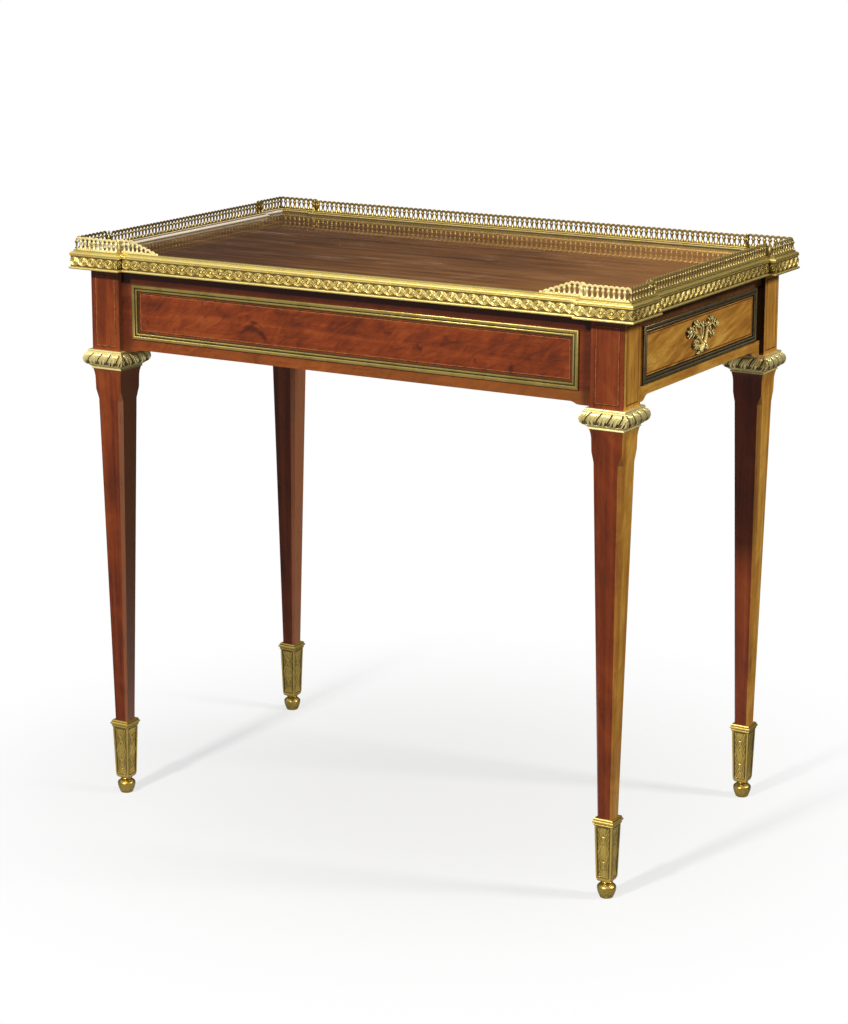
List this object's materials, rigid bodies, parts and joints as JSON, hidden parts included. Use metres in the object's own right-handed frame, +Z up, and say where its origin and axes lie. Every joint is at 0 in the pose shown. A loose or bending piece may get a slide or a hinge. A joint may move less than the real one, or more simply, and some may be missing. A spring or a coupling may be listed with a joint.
{
  "type": "writing table",
  "caption": "Writing table with square tapered legs, gilt edge band, pierced gallery and a drawer in one end.",
  "frame": {"origin": "on the floor, under the middle of the table", "axes": "+X along the length towards the end with the drawer, +Y towards the back, +Z up"},
  "size_m": [0.802, 0.488, 0.752],
  "materials": {
    "mahogany": "french-polished reddish-brown mahogany veneer",
    "figured_mahogany": "french-polished golden mahogany veneer with a diagonal figure",
    "top_mahogany": "polished brown mahogany, straight grain along the length, fine scratches",
    "oak": "planed unpolished oak",
    "gilt_bronze": "chased and gilt bronze, bright on the raised parts and dull in the hollows",
    "dark_bronze": "darkened gilt bronze",
    "ebonised_line": "polished dark stringing",
    "boxwood_line": "polished light stringing",
    "lock_steel": "filed steel",
    "screw_steel": "dull steel"
  },
  "bodies": {
    "carcase": {"collar_back_left": "gilt_bronze", "collar_back_right": "gilt_bronze", "collar_front_left": "gilt_bronze", "collar_front_right": "gilt_bronze", "drawer_kickers": "oak", "drawer_runners": "oak", "drawer_stops": "oak", "edge_band_back": "gilt_bronze", "edge_band_front": "gilt_bronze", "edge_band_left": "gilt_bronze", "edge_band_right": "gilt_bronze", "end_stiles": "mahogany", "foot_back_left": "gilt_bronze", "foot_back_right": "gilt_bronze", "foot_front_left": "gilt_bronze", "foot_front_right": "gilt_bronze", "frieze_back": "mahogany", "frieze_front": "mahogany", "frieze_left": "mahogany", "gallery_back": "gilt_bronze", "gallery_front_left": "gilt_bronze", "gallery_front_right": "gilt_bronze", "gallery_left": "gilt_bronze", "gallery_right": "gilt_bronze", "glue_blocks": "oak", "leg_back_left": "mahogany", "leg_back_right": "mahogany", "leg_front_left": "mahogany", "leg_front_right": "mahogany", "panel_moulding_back": "gilt_bronze", "panel_moulding_front": "gilt_bronze", "panel_moulding_left": "gilt_bronze", "rail_lower_right": "mahogany", "rail_upper_right": "mahogany", "rim_moulding_back": "gilt_bronze", "rim_moulding_front": "gilt_bronze", "rim_moulding_left": "gilt_bronze", "rim_moulding_right": "gilt_bronze", "sabot_back_left": "gilt_bronze", "sabot_back_right": "gilt_bronze", "sabot_front_left": "gilt_bronze", "sabot_front_right": "gilt_bronze", "stringing_dark": "ebonised_line", "stringing_light": "boxwood_line", "top_board": "top_mahogany", "top_screws": "screw_steel"},
    "drawer": {"drawer_back": "oak", "drawer_bottom": "oak", "drawer_front": "figured_mahogany", "drawer_moulding": "dark_bronze", "drawer_side_back": "oak", "drawer_side_front": "oak", "drawer_stringing_dark": "ebonised_line", "drawer_stringing_light": "boxwood_line", "lock_case": "lock_steel", "lock_screws": "screw_steel", "escutcheon": "gilt_bronze", "escutcheon_pins": "gilt_bronze"},
    "lock_bolt": {"lock_bolt": "lock_steel"}
  },
  "joints": [
    {"name": "drawer_slide", "type": "slide", "parent": "carcase", "child": "drawer", "axis": [1, 0, 0], "range_m": [0, 0.39]},
    {"name": "bolt_slide", "type": "slide", "parent": "drawer", "child": "lock_bolt", "axis": [0, 0, 1], "range_m": [0, 0.0065]}
  ]
}
